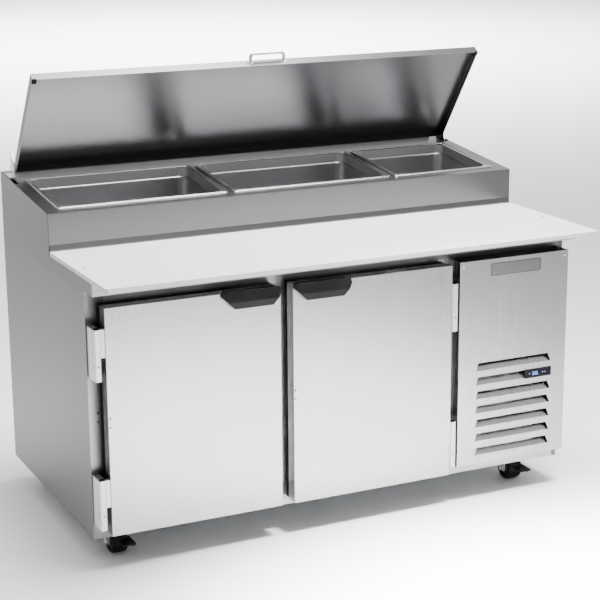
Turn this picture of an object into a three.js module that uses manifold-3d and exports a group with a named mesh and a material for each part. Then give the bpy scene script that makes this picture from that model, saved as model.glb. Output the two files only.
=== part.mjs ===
// Refrigerated prep table: two doors, a raised pan rail with a hinged lid, a deep cutting board,
// a machine compartment behind a louvred panel, and four swivel casters.
// Millimetres, +Z up, +X to the right along the front, +Y towards the back.
// The cabinet is laid out from its own front left lower corner. The outer group then moves it so that
// the origin is on the floor, under the middle of the whole object's box.

import * as THREE from 'three';
import { mergeVertices } from 'three/addons/utils/BufferGeometryUtils.js';
import Module from 'manifold-3d';

const wasm = await Module();
wasm.setup();

// ---------- driving dimensions ----------
const WIDTH = 1524;
const DEPTH = 770;
const GAP = 0.3; // clearance between pieces that touch
const SHEET = 1.5; // bent stainless sheet
const BITE = 0.7; // how far a joined piece stops short of, or runs into, its neighbour's faces
const SKIN = 1.2; // skins of the foamed panels
const CASTER_H = 80; // cabinet's lower edge above the floor

// lower cabinet
const SEAM_Z = 706; // top of the lower cabinet
const WALL = 52; // insulated wall
const BASE_Z = 16; // underside of the base pan
const FLOOR_Z0 = 18.3;
const FLOOR_Z1 = 72;
const BULKHEAD_X0 = 1076;
const BULKHEAD_X1 = 1128;
const BACK_T = 50;
const HEADER_Z0 = 645;
const HEADER_BAY_Z0 = 675; // the header is shallower above the machine bay
const HEADER_DEPTH = 40;
const MULLION_X0 = 524;
const MULLION_X1 = 613;
const MULLION_DEPTH = 36;

// doors
const FACE_Y = -60; // plane of the door faces and the louvred panel
const DOOR_W = 514;
const DOOR_Z0 = 25;
const DOOR_Z1 = 672;
const DOOR_BACK_Y = -20;
const DOOR_X = { left: 35, right: 588 };
const GASKET_W = 14;
const GASKET_INSET = 1;

// hinges: a long knuckle on the door above a short one on the cabinet
const KNUCKLE_HALF = 9.5;
const KNUCKLE_CHAMFER = 3;
const HINGE_Y = FACE_Y + KNUCKLE_HALF;
const HINGE_OFFSET = { left: 22, right: 12.5 }; // from the door's edge to the hinge axis
const HINGE_SPLITS = { upper: 512, lower: 86.6 };
const KNUCKLE_LONG = 103;
const KNUCKLE_SHORT = 41;
const HINGE_BLOCK_Y = -38; // front of the fixed block behind the knuckles
const HINGE_BLOCK_H = 144;

// worktop and cutting board
const DECK_Y0 = -66;
const DECK_Z0 = 709.3;
const DECK_Z1 = 744;
const BOARD_Y0 = -186;
const BOARD_Y1 = 295;
const BOARD_T = 12.5;
const BOARD_Z0 = DECK_Z1 + 0.5;

// raised pan rail
const RAIL_Y = 303;
const RAIL_FRONT_Z = 864;
const RAIL_REAR_Z = 911;
const RAIL_SLOPE = Math.atan2(RAIL_REAR_Z - RAIL_FRONT_Z, DEPTH - RAIL_Y);
const RISER_Y = 737; // raised strip behind the lid's hinge line
const RISER_H = 16;
const RISER_X = [46, 1478];
const PAN_X0 = 40;
const PAN_Y0 = 340;
const PAN_W = 315; // front to back, over the rim
const PAN_GAP = 15;
const PAN_LENGTHS = { pan_left: 530, pan_centre: 530, pan_right: 354 };
const PAN_DEPTH = 150;
const PAN_RIM = 13;
const PAN_T = 1.5;
const PAN_CORNER = 32;
const PAN_RIM_CORNER = 10;
const DIVIDER_W = 31;

// lid
const LID_AXIS_Y = 698.4;
const LID_AXIS_Z = 920.5;
const LID_OPEN = THREE.MathUtils.degToRad(54.3); // above level, in the drawn position
const LID_X0 = 25;
const LID_X1 = 1499;
const LID_REAR = 8.5; // from the hinge axis to the lid's rear edge
const LID_LENGTH = 369.5;
const LID_FLANGE = 26;
const LID_ABOVE = 13; // lid's face above the hinge axis when level
const LID_PIN_R = 4;
const HANDLE_SPAN = 110;
const HANDLE_R = 5;
const HANDLE_RISE = 33;
const HANDLE_TILT = THREE.MathUtils.degToRad(36);

// louvred panel and controller
const GRILLE_X0 = 1128.3;
const GRILLE_X1 = 1506;
const GRILLE_Z0 = 44.6;
const GRILLE_Z1 = 677;
const LOUVRES = 7;
const LOUVRE_PITCH = 44.2;
const LOUVRE_Z = 361.6; // top of the highest louvre
const LOUVRE_H = 24.6;
const LOUVRE_TOP = [1196, 1443];
const LOUVRE_FOOT = [1189, 1454];
const FLAP_IN = 12;
const FLAP_UP = 16;
const CONTROL = { x0: 1361, x1: 1455, z0: 291, z1: 318, front: -63, back: -28 };
const BEZEL = { side: 8, edge: 3 }; // the controller's border round its window

// casters
const CASTER_X = { left: 91, right: 1404 };
const CASTER_Y = { front: 95, rear: 675 };
const WHEEL_R = 37.5;
const WHEEL_W = 48;
const AXLE_R = 5.4;
const FORK_T = 3.3;
const TRAIL = 20; // axle ahead of the swivel axis
const AXLE_Z = WHEEL_R - CASTER_H;

// ---------- materials ----------
function finish(color, roughness, metalness) {
  return new THREE.MeshStandardMaterial({ color, roughness, metalness });
}
const STAINLESS = finish(0xb9bbbd, 0.34, 1);
const STAINLESS_DARK = finish(0x8b8d8f, 0.38, 1);
const PAN_STEEL = finish(0x7d7f80, 0.3, 1);
const GALVANISED = finish(0x9a9d9e, 0.5, 1);
const ALUMINIUM = finish(0xc4c6c8, 0.4, 1);
const BOARD_WHITE = finish(0xececea, 0.55, 0);
const BLACK_PLASTIC = finish(0x17181a, 0.5, 0);
const GASKET_BLACK = finish(0x101010, 0.8, 0);
const WHEEL_BLACK = finish(0x1c1d1e, 0.65, 0);
const MACHINE_BLACK = finish(0x202122, 0.45, 0.3);
const LINER_WHITE = finish(0xdfe1e1, 0.5, 0);

// ---------- solids ----------
function solid(geometry) {
  const bare = geometry.clone();
  bare.deleteAttribute('normal');
  bare.deleteAttribute('uv');
  const merged = mergeVertices(bare, 1e-4);
  const vertProperties = new Float32Array(merged.attributes.position.array);
  const triVerts = new Uint32Array(merged.index.array);
  return new wasm.Manifold(new wasm.Mesh({ numProp: 3, vertProperties, triVerts }));
}

function geometryOf(body) {
  const mesh = body.getMesh();
  const geometry = new THREE.BufferGeometry();
  geometry.setAttribute('position', new THREE.BufferAttribute(new Float32Array(mesh.vertProperties), 3));
  geometry.setIndex(new THREE.BufferAttribute(new Uint32Array(mesh.triVerts), 1));
  return geometry;
}

function join(...bodies) {
  return bodies.reduce((whole, body) => whole.add(body));
}

function box(x0, x1, y0, y1, z0, z1) {
  const geometry = new THREE.BoxGeometry(x1 - x0, y1 - y0, z1 - z0);
  geometry.translate((x0 + x1) / 2, (y0 + y1) / 2, (z0 + z1) / 2);
  return solid(geometry);
}

function outline(points) {
  return new THREE.Shape(points.map(([a, b]) => new THREE.Vector2(a, b)));
}

function extrude(shape, length) {
  return new THREE.ExtrudeGeometry(shape, { depth: length, bevelEnabled: false, curveSegments: 3 });
}

// points are (y, z) pairs and the body runs from x0 to x1
function alongX(points, x0, x1) {
  const geometry = extrude(outline(points), x1 - x0);
  geometry.applyMatrix4(new THREE.Matrix4().set(0, 0, 1, x0, 1, 0, 0, 0, 0, 1, 0, 0, 0, 0, 0, 1));
  return solid(geometry);
}

// points are (x, z) pairs and the body runs from y0 to y1
function alongY(points, y0, y1) {
  const geometry = extrude(outline(points), y1 - y0);
  geometry.applyMatrix4(new THREE.Matrix4().set(1, 0, 0, 0, 0, 0, -1, y1, 0, 1, 0, 0, 0, 0, 0, 1));
  return solid(geometry);
}

// points are (x, y) pairs and the body runs from z0 to z1
function alongZ(points, z0, z1) {
  const geometry = extrude(outline(points), z1 - z0);
  geometry.translate(0, 0, z0);
  return solid(geometry);
}

function cylinder(radius, length, axis, x, y, z, sides = 20) {
  const geometry = new THREE.CylinderGeometry(radius, radius, length, sides);
  if (axis === 'x') {
    geometry.rotateZ(Math.PI / 2);
  } else if (axis === 'z') {
    geometry.rotateX(Math.PI / 2);
  }
  geometry.translate(x, y, z);
  return solid(geometry);
}

// a foamed panel's metal shell: a box with one open side, which its neighbour covers
function shell(x0, x1, y0, y1, z0, z1, open) {
  const low = open === 'bottom' ? z0 - 1 : z0 + SKIN;
  const high = open === 'top' ? z1 + 1 : z1 - SKIN;
  const inner = box(x0 + SKIN, x1 - SKIN, y0 + SKIN, y1 - SKIN, low, high);
  return box(x0, x1, y0, y1, z0, z1).subtract(inner);
}

// a sheet folded along a centre line of (a, b) points, with its thickness to the left of the line
function folded(points, thickness) {
  const count = points.length;
  const vectors = points.map(([a, b]) => new THREE.Vector2(a, b));
  const offset = vectors.map((point, i) => {
    const before = i > 0 ? point.clone().sub(vectors[i - 1]).normalize() : null;
    const after = i < count - 1 ? vectors[i + 1].clone().sub(point).normalize() : null;
    const first = before ?? after;
    const second = after ?? before;
    const side = new THREE.Vector2(-first.y - second.y, first.x + second.x).normalize();
    const reach = thickness / Math.max(0.3, side.dot(new THREE.Vector2(-first.y, first.x)));
    return point.clone().addScaledVector(side, reach);
  });
  return [...vectors, ...offset.reverse()].map((point) => [point.x, point.y]);
}

// ---------- assembly ----------
const part = new THREE.Group();
const cabinet = new THREE.Group();
cabinet.position.set(-WIDTH / 2, -(BOARD_Y0 + DEPTH) / 2, CASTER_H);
part.add(cabinet);

function add(name, body, material, parent = cabinet) {
  const mesh = new THREE.Mesh(geometryOf(body), material);
  mesh.name = name;
  parent.add(mesh);
}

const railTop = (y) => RAIL_FRONT_Z + (y - RAIL_Y) * Math.tan(RAIL_SLOPE);

// ---------- lower cabinet ----------
const innerRight = WIDTH - SHEET;
add('left_wall', shell(0, WALL, 0, DEPTH, 0, SEAM_Z, 'top'), STAINLESS);
const boxX0 = WALL + GAP;
const boxX1 = BULKHEAD_X0 - GAP;
const backY = DEPTH - BACK_T;
add('back_wall', shell(boxX0, boxX1, backY, DEPTH, FLOOR_Z0, SEAM_Z, 'top'), GALVANISED);
add('cabinet_floor', shell(boxX0, boxX1, 0, backY - GAP, FLOOR_Z0, FLOOR_Z1, 'bottom'), STAINLESS);
add('bulkhead', shell(BULKHEAD_X0, BULKHEAD_X1, 0, DEPTH, FLOOR_Z0, SEAM_Z, 'top'), STAINLESS);

function sidePanelRight() {
  const lip = 14;
  const path = [[WIDTH - lip, DEPTH], [WIDTH, DEPTH], [WIDTH, 0], [WIDTH - lip, 0]];
  const sheet = alongZ(folded(path.reverse(), SHEET), 0, SEAM_Z);
  return sheet;
}
add('side_panel_right', sidePanelRight(), STAINLESS);

function rearPanel() {
  const x0 = BULKHEAD_X1 + GAP;
  const x1 = WIDTH - 14 - GAP;
  const slots = 8;
  const pitch = 36;
  const margin = 40;
  let sheet = box(x0, x1, DEPTH - SHEET, DEPTH, FLOOR_Z0, SEAM_Z);
  for (let i = 0; i < slots; i += 1) {
    const z = 120 + i * pitch;
    sheet = sheet.subtract(box(x0 + margin, x1 - margin, DEPTH - 5, DEPTH + 1, z, z + 14));
  }
  return sheet;
}
add('rear_panel', rearPanel(), GALVANISED);

function basePan() {
  const x0 = WALL + GAP;
  const x1 = WIDTH - SHEET - GAP;
  const sheetTop = FLOOR_Z0 - GAP;
  const pad = 32;
  const padZ = 12;
  const front = SHEET + GAP;
  let pan = box(x0, x1, front, DEPTH - front, BASE_Z, sheetTop);
  pan = join(pan, box(x0, WIDTH - 14 - GAP, front, front + SHEET, 0, BASE_Z + SHEET));
  for (const x of Object.values(CASTER_X)) {
    for (const y of Object.values(CASTER_Y)) {
      pan = join(pan, box(x - pad, x + pad, y - pad, y + pad, padZ, BASE_Z + 1));
    }
  }
  return pan;
}
add('base_pan', basePan(), GALVANISED);

function headerRail() {
  const x0 = WALL + GAP;
  const x1 = WIDTH - 14 - GAP;
  const z1 = SEAM_Z - GAP;
  const bridge = GRILLE_Z1 + 2; // strip that passes in front of the bulkhead
  const channel = (zLow, xa, xb) => {
    const path = [[HEADER_DEPTH, z1], [0, z1], [0, zLow], [HEADER_DEPTH, zLow]];
    return alongX(folded(path, SHEET), xa, xb);
  };
  return join(channel(HEADER_Z0, x0, BULKHEAD_X0 - GAP), channel(HEADER_BAY_Z0, BULKHEAD_X1 + GAP, x1),
    box(BULKHEAD_X0 - 20, BULKHEAD_X1 + 20, -SHEET - GAP, -GAP, bridge, z1),
    box(BULKHEAD_X0 - 18, BULKHEAD_X0 - 2, -SHEET, SHEET / 2, bridge + 1, z1 - 1),
    box(BULKHEAD_X1 + 2, BULKHEAD_X1 + 18, -SHEET, SHEET / 2, bridge + 1, z1 - 1));
}
add('header_rail', headerRail(), STAINLESS);

function mullion() {
  const path = [[MULLION_X1, MULLION_DEPTH], [MULLION_X1, 0], [MULLION_X0, 0], [MULLION_X0, MULLION_DEPTH]];
  return alongZ(folded(path.reverse(), SHEET), FLOOR_Z1 + GAP, HEADER_Z0 - GAP);
}
add('mullion', mullion(), STAINLESS);

// ---------- worktop and rail ----------
function topDeck() {
  const front = DECK_Y0 + GAP;
  const rear = RAIL_Y - 8;
  const path = [[rear, DECK_Z0], [rear, DECK_Z1], [front, DECK_Z1], [front, DECK_Z0], [front + 30, DECK_Z0]];
  return alongX(folded(path, SHEET), 2 + GAP, WIDTH - 2 - GAP);
}
add('top_deck', topDeck(), STAINLESS);

function endPanel(x0) {
  const top = [[RAIL_Y, RAIL_FRONT_Z], [DEPTH, RAIL_REAR_Z], [DEPTH, SEAM_Z + GAP], [0, SEAM_Z + GAP]];
  const foot = [[0, DECK_Z0], [DECK_Y0, DECK_Z0], [DECK_Y0, DECK_Z1], [RAIL_Y, DECK_Z1]];
  return alongX([...top, ...foot], x0, x0 + 2);
}
add('end_panel_left', endPanel(0), STAINLESS);
add('end_panel_right', endPanel(WIDTH - 2), STAINLESS);

const railX0 = 2 + GAP;
const railX1 = WIDTH - 2 - GAP;

// the fascia's lower strip leans forward over the back of the board
function railFront() {
  const crease = RAIL_FRONT_Z - 90;
  const path = [[RAIL_Y, RAIL_FRONT_Z - 2], [RAIL_Y, crease], [RAIL_Y - 6, crease - 14],
    [RAIL_Y - 6, DECK_Z1 + GAP]];
  return alongX(folded(path, SHEET), railX0, railX1);
}
add('rail_front', railFront(), STAINLESS);

// everything in this group lies in the sloped plane of the rail's top, with z = 0 on its upper face
const rail = new THREE.Group();
rail.position.set(0, RAIL_Y, RAIL_FRONT_Z);
rail.rotation.x = RAIL_SLOPE;
cabinet.add(rail);
const alongSlope = (y) => (y - RAIL_Y) / Math.cos(RAIL_SLOPE);
const PAN_V0 = alongSlope(PAN_Y0);
const PAN_V1 = PAN_V0 + PAN_W;

const panX = {};
let panEdge = PAN_X0;
for (const [name, length] of Object.entries(PAN_LENGTHS)) {
  panX[name] = [panEdge, panEdge + length];
  panEdge += length + PAN_GAP;
}
const openX0 = PAN_X0 + PAN_RIM - 1;
const openX1 = panX.pan_right[1] - PAN_RIM + 1;
const openV0 = PAN_V0 + PAN_RIM - 1;
const openV1 = PAN_V1 - PAN_RIM + 1;

function railTopPlate() {
  const v1 = alongSlope(RISER_Y) - GAP;
  const v2 = alongSlope(DEPTH) - SHEET - 2 * GAP;
  const corner = (x0, x1) => box(x0, x1, v1 - 1, v2, -SHEET, 0);
  const notch = box(0, 14, alongSlope(622), alongSlope(676), -10, 10);
  const hole = box(openX0, openX1, openV0, openV1, -10, 10);
  const plate = box(railX0, railX1, 0.4, v1, -SHEET, 0).subtract(hole).subtract(notch);
  return join(plate, corner(railX0 + BITE, RISER_X[0] - GAP), corner(RISER_X[1] + GAP, railX1 - BITE));
}
add('rail_top', railTopPlate(), STAINLESS_DARK, rail);

// the upper back, folded forward into the raised strip behind the lid
function railBack() {
  const top = railTop(RISER_Y) + RISER_H;
  const path = [[DEPTH, SEAM_Z + GAP], [DEPTH, top], [RISER_Y, top], [RISER_Y, railTop(RISER_Y) - 12]];
  const low = RAIL_REAR_Z - 6;
  const clear = (x0, x1) => box(x0, x1, RISER_Y - 5, DEPTH + 5, low, top + 5);
  const cap = (x) => box(x, x + SHEET, RISER_Y + BITE, DEPTH - BITE, low + BITE, top - BITE);
  return alongX(folded(path, SHEET), railX0, railX1)
    .subtract(clear(0, RISER_X[0])).subtract(clear(RISER_X[1], WIDTH))
    .add(cap(RISER_X[0] + BITE)).add(cap(RISER_X[1] - SHEET - BITE));
}
add('rail_back', railBack(), STAINLESS);

const boardCorner = 6;
const boardOutline = [[boardCorner, BOARD_Y0], [WIDTH - boardCorner, BOARD_Y0],
  [WIDTH, BOARD_Y0 + boardCorner], [WIDTH, BOARD_Y1], [0, BOARD_Y1], [0, BOARD_Y0 + boardCorner]];
const board = alongZ(boardOutline, BOARD_Z0, BOARD_Z0 + BOARD_T);
add('cutting_board', board, BOARD_WHITE);

// ---------- pans and their divider bars ----------
function roundedRectangle(x0, x1, y0, y1, radius) {
  const shape = new THREE.Shape();
  shape.moveTo(x0 + radius, y0);
  shape.lineTo(x1 - radius, y0);
  shape.absarc(x1 - radius, y0 + radius, radius, -Math.PI / 2, 0);
  shape.lineTo(x1, y1 - radius);
  shape.absarc(x1 - radius, y1 - radius, radius, 0, Math.PI / 2);
  shape.lineTo(x0 + radius, y1);
  shape.absarc(x0 + radius, y1 - radius, radius, Math.PI / 2, Math.PI);
  shape.lineTo(x0, y0 + radius);
  shape.absarc(x0 + radius, y0 + radius, radius, Math.PI, Math.PI * 1.5);
  return shape;
}

// a tub from z = 0 down to -depth, drawn in by `taper` on each side at the bottom
function tub(x0, x1, y0, y1, radius, depth, taper) {
  const geometry = extrude(roundedRectangle(x0, x1, y0, y1, radius), depth);
  geometry.translate(0, 0, -depth);
  const place = geometry.attributes.position;
  const midX = (x0 + x1) / 2;
  const midY = (y0 + y1) / 2;
  const scaleX = 1 - (2 * taper) / (x1 - x0);
  const scaleY = 1 - (2 * taper) / (y1 - y0);
  for (let i = 0; i < place.count; i += 1) {
    if (place.getZ(i) < -depth / 2) {
      place.setX(i, midX + (place.getX(i) - midX) * scaleX);
      place.setY(i, midY + (place.getY(i) - midY) * scaleY);
    }
  }
  return solid(geometry);
}

function pan([x0, x1]) {
  const wall = PAN_RIM + PAN_T;
  const rim = extrude(roundedRectangle(x0, x1, PAN_V0, PAN_V1, PAN_RIM_CORNER), PAN_T);
  rim.translate(0, 0, GAP);
  const outer = tub(x0 + PAN_RIM, x1 - PAN_RIM, PAN_V0 + PAN_RIM, PAN_V1 - PAN_RIM, PAN_CORNER,
    PAN_DEPTH, 10);
  const raised = outer.translate([0, 0, GAP + PAN_T / 2]);
  const hollow = tub(x0 + wall, x1 - wall, PAN_V0 + wall, PAN_V1 - wall, PAN_CORNER - PAN_T, PAN_DEPTH, 10);
  return solid(rim).add(raised).subtract(hollow.translate([0, 0, GAP + 2 * PAN_T]));
}
for (const [name, range] of Object.entries(panX)) {
  add(name, pan(range), PAN_STEEL, rail);
}

function divider(left) {
  const middle = left + PAN_GAP / 2;
  const half = DIVIDER_W / 2;
  const web = PAN_GAP / 2 - 1;
  const bar = box(middle - half, middle + half, openV0 + GAP, openV1 - GAP, -2.5, 0);
  const rib = box(middle - web, middle + web, openV0 + GAP, openV1 - GAP, -22, -1);
  return bar.add(rib);
}
add('pan_divider_1', divider(panX.pan_left[1]), STAINLESS_DARK, rail);
add('pan_divider_2', divider(panX.pan_centre[1]), STAINLESS_DARK, rail);

// ---------- lid ----------
const lid = new THREE.Group();
lid.position.set(0, LID_AXIS_Y, LID_AXIS_Z);
lid.rotation.x = -LID_OPEN;
cabinet.add(lid);

function lidShell() {
  const rear = -LID_REAR;
  const front = rear - LID_LENGTH;
  const under = LID_ABOVE - LID_FLANGE;
  const tray = box(LID_X0, LID_X1, front, rear, under, LID_ABOVE)
    .subtract(box(LID_X0 + SHEET, LID_X1 - SHEET, front + SHEET, rear - SHEET, under - 1, LID_ABOVE - SHEET));
  let whole = tray;
  for (const [x0, x1] of [[LID_X0 + 0.2, LID_X0 + SHEET - 0.2], [LID_X1 - SHEET + 0.2, LID_X1 - 0.2]]) {
    const ear = alongX([[rear - 1, -10], [0, -10], [8, -5], [8, 6], [rear - 1, LID_ABOVE - 1]], x0, x1);
    const bore = cylinder(LID_PIN_R + 0.4, 10, 'x', (x0 + x1) / 2, 0, 0, 16);
    whole = join(whole, ear).subtract(bore);
  }
  return whole;
}
add('lid_shell', lidShell(), STAINLESS, lid);

function handlePath() {
  const out = new THREE.Vector3(0, -Math.cos(HANDLE_TILT), Math.sin(HANDLE_TILT));
  const foot = new THREE.Vector3(WIDTH / 2, -LID_REAR - LID_LENGTH + HANDLE_R, -2);
  const place = (side, rise) => foot.clone().addScaledVector(out, rise).setX(WIDTH / 2 + side);
  const half = HANDLE_SPAN / 2;
  const bend = 14;
  const low = HANDLE_RISE - bend;
  const corners = [[-half, HANDLE_RISE], [half, HANDLE_RISE]].map(([side, rise]) => place(side, rise));
  const legs = [[-half, 0], [-half, low], [half, low], [half, 0]].map(([side, rise]) => place(side, rise));
  const bar = [bend - half, half - bend].map((side) => place(side, HANDLE_RISE));
  const path = new THREE.CurvePath();
  path.add(new THREE.LineCurve3(legs[0], legs[1]));
  path.add(new THREE.QuadraticBezierCurve3(legs[1], corners[0], bar[0]));
  path.add(new THREE.LineCurve3(bar[0], bar[1]));
  path.add(new THREE.QuadraticBezierCurve3(bar[1], corners[1], legs[2]));
  path.add(new THREE.LineCurve3(legs[2], legs[3]));
  return path;
}

function lidHandle() {
  const ring = new THREE.Shape();
  ring.absarc(0, 0, HANDLE_R, 0, Math.PI * 2);
  const rod = new THREE.ExtrudeGeometry(ring, { steps: 26, curveSegments: 5, extrudePath: handlePath() });
  const lidFront = -LID_REAR - LID_LENGTH - GAP;
  return solid(rod).subtract(box(0, WIDTH, lidFront, lidFront + 50, -50, 50));
}
add('lid_handle', lidHandle(), STAINLESS, lid);

// a foot on the rail, an upright ear and the pin that the lid turns on
function lidBracket(side) {
  const inward = side === 'left' ? 1 : -1;
  const edge = side === 'left' ? 3 : WIDTH - 3;
  const span = (a, b) => [edge + inward * a, edge + inward * b].sort((first, second) => first - second);
  const [footX0, footX1] = span(1, 20);
  const [earX0, earX1] = span(16, 19);
  const [pinX0, pinX1] = span(17, 27);
  const rise = GAP + 0.1;
  const y0 = 682;
  const y1 = 732;
  const foot = alongX([[y0, railTop(y0) + rise], [y0, railTop(y0) + rise + 3], [y1, railTop(y1) + rise + 3],
    [y1, railTop(y1) + rise]], footX0, footX1);
  const earFoot = rise + BITE;
  const ear = alongX([[y0 + 2, railTop(y0) + earFoot], [y0 + 6, 946], [704, 976], [716, 976],
    [y1 - 4, railTop(y1) + earFoot]], earX0, earX1);
  const pin = cylinder(LID_PIN_R, pinX1 - pinX0, 'x', (pinX0 + pinX1) / 2, LID_AXIS_Y, LID_AXIS_Z, 16);
  return join(foot, ear, pin);
}
add('lid_bracket_left', lidBracket('left'), GALVANISED);
add('lid_bracket_right', lidBracket('right'), BLACK_PLASTIC);

// ---------- doors ----------
function doorShell(x0) {
  const x1 = x0 + DOOR_W;
  const outer = box(x0, x1, FACE_Y, DOOR_BACK_Y, DOOR_Z0, DOOR_Z1);
  const inside = box(x0 + SHEET, x1 - SHEET, FACE_Y + SHEET, DOOR_BACK_Y + 1, DOOR_Z0 + SHEET,
    DOOR_Z1 - SHEET);
  return outer.subtract(inside);
}

function doorGasket(x0) {
  const a = GASKET_INSET;
  const b = GASKET_INSET + GASKET_W;
  const y0 = DOOR_BACK_Y + GAP;
  const ring = box(x0 + a, x0 + DOOR_W - a, y0, -GAP, DOOR_Z0 + a, DOOR_Z1 - a);
  return ring.subtract(box(x0 + b, x0 + DOOR_W - b, y0 - 1, 1, DOOR_Z0 + b, DOOR_Z1 - b));
}

function doorLiner(x0) {
  const inset = GASKET_INSET + GASKET_W + GAP;
  const y0 = DOOR_BACK_Y + GAP;
  return box(x0 + inset, x0 + DOOR_W - inset, y0, y0 + 4, DOOR_Z0 + inset, DOOR_Z1 - inset);
}

// a moulded pull that hangs from the door's top edge, hollow behind its lip
const PULL = { top: 180, foot: 114, z0: 631, z1: 675, fold: 650, out: 24, wall: 3.5 };
function doorPull(x0) {
  const slant = (PULL.top - PULL.foot) / 2;
  const trapezoid = (inset) => alongY([
    [x0 + inset, PULL.z1 + 5], [x0 + inset, 664], [x0 + slant + inset, PULL.z0 - 1],
    [x0 + slant + PULL.foot - inset, PULL.z0 - 1], [x0 + PULL.top - inset, 664],
    [x0 + PULL.top - inset, PULL.z1 + 5]],
  FACE_Y - 60, 0);
  const back = FACE_Y - GAP;
  const lip = back - PULL.out;
  const outer = alongX([[back, PULL.z1], [lip, PULL.fold], [lip, PULL.z0], [back, PULL.z0]],
    x0 - 5, x0 + PULL.top + 5);
  const inner = alongX([[back + 1, PULL.z1 - 8], [back - 1, PULL.z1 - 8], [lip + PULL.wall, PULL.fold - 2],
    [lip + PULL.wall, PULL.z0 - 5], [back + 1, PULL.z0 - 5]], x0 - 5, x0 + PULL.top + 5);
  const hook = box(x0 + 14, x0 + PULL.top - 14, back - 2, FACE_Y + 24, DOOR_Z1 + GAP, PULL.z1);
  return outer.intersect(trapezoid(0)).subtract(inner.intersect(trapezoid(PULL.wall))).add(hook);
}

function knuckle(axisX, z0, z1) {
  const half = KNUCKLE_HALF;
  const flat = half - KNUCKLE_CHAMFER;
  const plan = [[-flat, -half], [flat, -half], [half, -flat], [half, flat],
    [flat, half], [-flat, half], [-half, flat], [-half, -flat]];
  return alongZ(plan.map(([x, y]) => [axisX + x, HINGE_Y + y]), z0, z1);
}

// the door's long knuckle with the arm that reaches its edge
function hingeArm(axisX, split, towards, offset) {
  const z1 = split + KNUCKLE_LONG;
  const ends = [axisX + towards * (KNUCKLE_HALF - 1), axisX + towards * (offset - GAP)];
  const arm = box(Math.min(...ends), Math.max(...ends), HINGE_Y - 6, HINGE_Y + 8, split + 24, z1 - BITE);
  return knuckle(axisX, split + GAP, z1).add(arm);
}

// the cabinet's short knuckle, the arm behind it and the block that stands on the front of the wall
function hingeBase(axisX, split) {
  const half = KNUCKLE_HALF;
  const z0 = split - KNUCKLE_SHORT;
  const arm = box(axisX - half + BITE, axisX + half - BITE, HINGE_Y, -GAP - BITE, z0 + BITE, z0 + 30);
  const block = box(axisX - half, axisX + half, HINGE_BLOCK_Y, -GAP, z0, z0 + HINGE_BLOCK_H);
  return join(knuckle(axisX, z0, split), arm, block);
}

const AXIS_X = { left: DOOR_X.left - HINGE_OFFSET.left, right: DOOR_X.right + DOOR_W + HINGE_OFFSET.right };
const pullX = { left: DOOR_X.left + DOOR_W - PULL.top, right: DOOR_X.right };
for (const side of ['left', 'right']) {
  const towards = side === 'left' ? 1 : -1;
  add(`door_${side}`, doorShell(DOOR_X[side]), STAINLESS);
  add(`door_liner_${side}`, doorLiner(DOOR_X[side]), LINER_WHITE);
  add(`door_gasket_${side}`, doorGasket(DOOR_X[side]), GASKET_BLACK);
  add(`door_pull_${side}`, doorPull(pullX[side]), BLACK_PLASTIC);
  for (const [level, split] of Object.entries(HINGE_SPLITS)) {
    add(`hinge_arm_${side}_${level}`, hingeArm(AXIS_X[side], split, towards, HINGE_OFFSET[side]), ALUMINIUM);
    add(`hinge_base_${side}_${level}`, hingeBase(AXIS_X[side], split), ALUMINIUM);
  }
}

// ---------- louvred panel and controller ----------
function grillePanel() {
  const back = FACE_Y + SHEET;
  const plan = [[GRILLE_X0, -GAP], [GRILLE_X0, FACE_Y], [GRILLE_X1, FACE_Y], [GRILLE_X1, -GAP]];
  let panel = alongZ(folded(plan, SHEET), GRILLE_Z0, GRILLE_Z1);
  for (let i = 0; i < LOUVRES; i += 1) {
    const top = LOUVRE_Z - i * LOUVRE_PITCH;
    const foot = top - LOUVRE_H;
    const hole = alongY([[LOUVRE_FOOT[0], foot], [LOUVRE_FOOT[1], foot], [LOUVRE_TOP[1], top],
      [LOUVRE_TOP[0], top]], FACE_Y - 5, back + 5);
    const root = FACE_Y + 0.4;
    const flap = alongX([[root, foot - 1.6], [back + FLAP_IN, foot + FLAP_UP - 1.2],
      [back + FLAP_IN - 1, foot + FLAP_UP], [root, foot + 0.5]], LOUVRE_FOOT[0] + 2, LOUVRE_FOOT[1] - 9);
    panel = panel.subtract(hole).add(flap);
  }
  const footZ = GRILLE_Z0 + BITE;
  const foot = box(GRILLE_X0 + BITE, GRILLE_X1 - BITE, FACE_Y + BITE, -GAP - BITE, footZ, footZ + SHEET);
  const seat = box(CONTROL.x0 - GAP, CONTROL.x1 + GAP, FACE_Y - 5, CONTROL.back + 2,
    CONTROL.z0 - GAP, CONTROL.z1 + GAP);
  return panel.add(foot).subtract(seat);
}
add('grille_panel', grillePanel(), STAINLESS);
const control = box(CONTROL.x0, CONTROL.x1, CONTROL.front, CONTROL.back, CONTROL.z0, CONTROL.z1);
const controlWindow = box(CONTROL.x0 + BEZEL.side, CONTROL.x1 - BEZEL.side, CONTROL.front - 1,
  CONTROL.front + 2, CONTROL.z0 + BEZEL.edge, CONTROL.z1 - BEZEL.edge);
add('controller', control.subtract(controlWindow), BLACK_PLASTIC);

// ---------- machinery ----------
const BAY_MID_X = (BULKHEAD_X1 + WIDTH) / 2 + 10;
const CONDENSER = { w: 270, h: 270, y0: 60, y1: 110, z0: 30 };
const FAN_Z = CONDENSER.z0 + CONDENSER.h / 2;

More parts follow.
